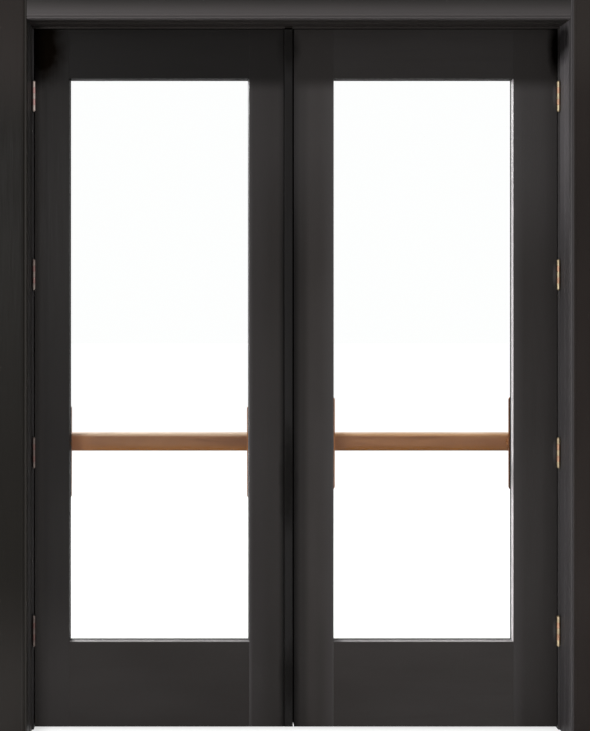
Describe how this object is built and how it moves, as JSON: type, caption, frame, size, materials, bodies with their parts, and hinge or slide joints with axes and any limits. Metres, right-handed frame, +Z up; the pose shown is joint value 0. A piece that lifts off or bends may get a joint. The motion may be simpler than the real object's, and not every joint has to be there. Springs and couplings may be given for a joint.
{
  "type": "french doors",
  "caption": "Pair of tall glazed timber doors in a deep frame with moulded casing, hung on butt hinges to open towards the viewer, with timber push bars behind the glass.",
  "frame": {"origin": "centre of the wall opening at floor level, in the plane of the casing's back", "axes": "+X to the viewer's right, +Y away from the viewer through the wall, +Z up"},
  "size_m": [2.056, 0.2245, 2.5634],
  "materials": {
    "dark_paint": "satin charcoal paint on timber",
    "bar_timber": "oiled reddish-brown timber",
    "hinge_metal": "satin copper-toned brass",
    "bracket_bronze": "dark amber bronze",
    "bolt_steel": "brushed",
    "seal_rubber": "matt black",
    "pane_glass": "clear"
  },
  "bodies": {
    "frame": {"left_jamb": "dark_paint", "left_extension": "dark_paint", "left_casing": "dark_paint", "left_seal": "seal_rubber", "left_hinge_1_jamb_plate": "hinge_metal", "left_hinge_2_jamb_plate": "hinge_metal", "left_hinge_3_jamb_plate": "hinge_metal", "left_hinge_4_jamb_plate": "hinge_metal", "left_hinge_pins": "hinge_metal", "right_jamb": "dark_paint", "right_extension": "dark_paint", "right_casing": "dark_paint", "right_seal": "seal_rubber", "right_hinge_1_jamb_plate": "hinge_metal", "right_hinge_2_jamb_plate": "hinge_metal", "right_hinge_3_jamb_plate": "hinge_metal", "right_hinge_4_jamb_plate": "hinge_metal", "right_hinge_pins": "hinge_metal", "head_jamb": "dark_paint", "head_extension": "dark_paint", "head_casing": "dark_paint", "head_seal": "seal_rubber", "top_bolt_strike": "hinge_metal"},
    "left_leaf": {"left_hinge_1_leaf_plate": "hinge_metal", "left_hinge_2_leaf_plate": "hinge_metal", "left_hinge_3_leaf_plate": "hinge_metal", "left_hinge_4_leaf_plate": "hinge_metal", "left_leaf_hinge_stile": "dark_paint", "left_leaf_lock_stile": "dark_paint", "left_leaf_bottom_rail": "dark_paint", "left_leaf_top_rail": "dark_paint", "left_leaf_beads": "dark_paint", "left_leaf_glass": "pane_glass", "left_leaf_setting_blocks": "seal_rubber", "left_push_bar": "bar_timber", "left_bar_bracket_hinge_side": "bracket_bronze", "left_bar_bracket_lock_side": "bracket_bronze", "astragal": "dark_paint"},
    "right_leaf": {"right_hinge_1_leaf_plate": "hinge_metal", "right_hinge_2_leaf_plate": "hinge_metal", "right_hinge_3_leaf_plate": "hinge_metal", "right_hinge_4_leaf_plate": "hinge_metal", "right_leaf_hinge_stile": "dark_paint", "right_leaf_lock_stile": "dark_paint", "right_leaf_bottom_rail": "dark_paint", "right_leaf_top_rail": "dark_paint", "right_leaf_beads": "dark_paint", "right_leaf_glass": "pane_glass", "right_leaf_setting_blocks": "seal_rubber", "right_push_bar": "bar_timber", "right_bar_bracket_hinge_side": "bracket_bronze", "right_bar_bracket_lock_side": "bracket_bronze"},
    "top_bolt": {"top_bolt": "bolt_steel"},
    "bottom_bolt": {"bottom_bolt": "bolt_steel"}
  },
  "joints": [
    {"name": "left_leaf_swing", "type": "hinge", "parent": "frame", "child": "left_leaf", "pos_m": [-0.9155, 0.068, 1.24], "axis": [0, 0, -1], "range_deg": [0, 95]},
    {"name": "right_leaf_swing", "type": "hinge", "parent": "frame", "child": "right_leaf", "pos_m": [0.9155, 0.068, 1.24], "axis": [0, 0, 1], "range_deg": [0, 95]},
    {"name": "top_bolt_slide", "type": "slide", "parent": "left_leaf", "child": "top_bolt", "axis": [0, 0, 1], "range_m": [0, 0.018]},
    {"name": "bottom_bolt_slide", "type": "slide", "parent": "left_leaf", "child": "bottom_bolt", "axis": [0, 0, -1], "range_m": [0, 0.02]}
  ]
}
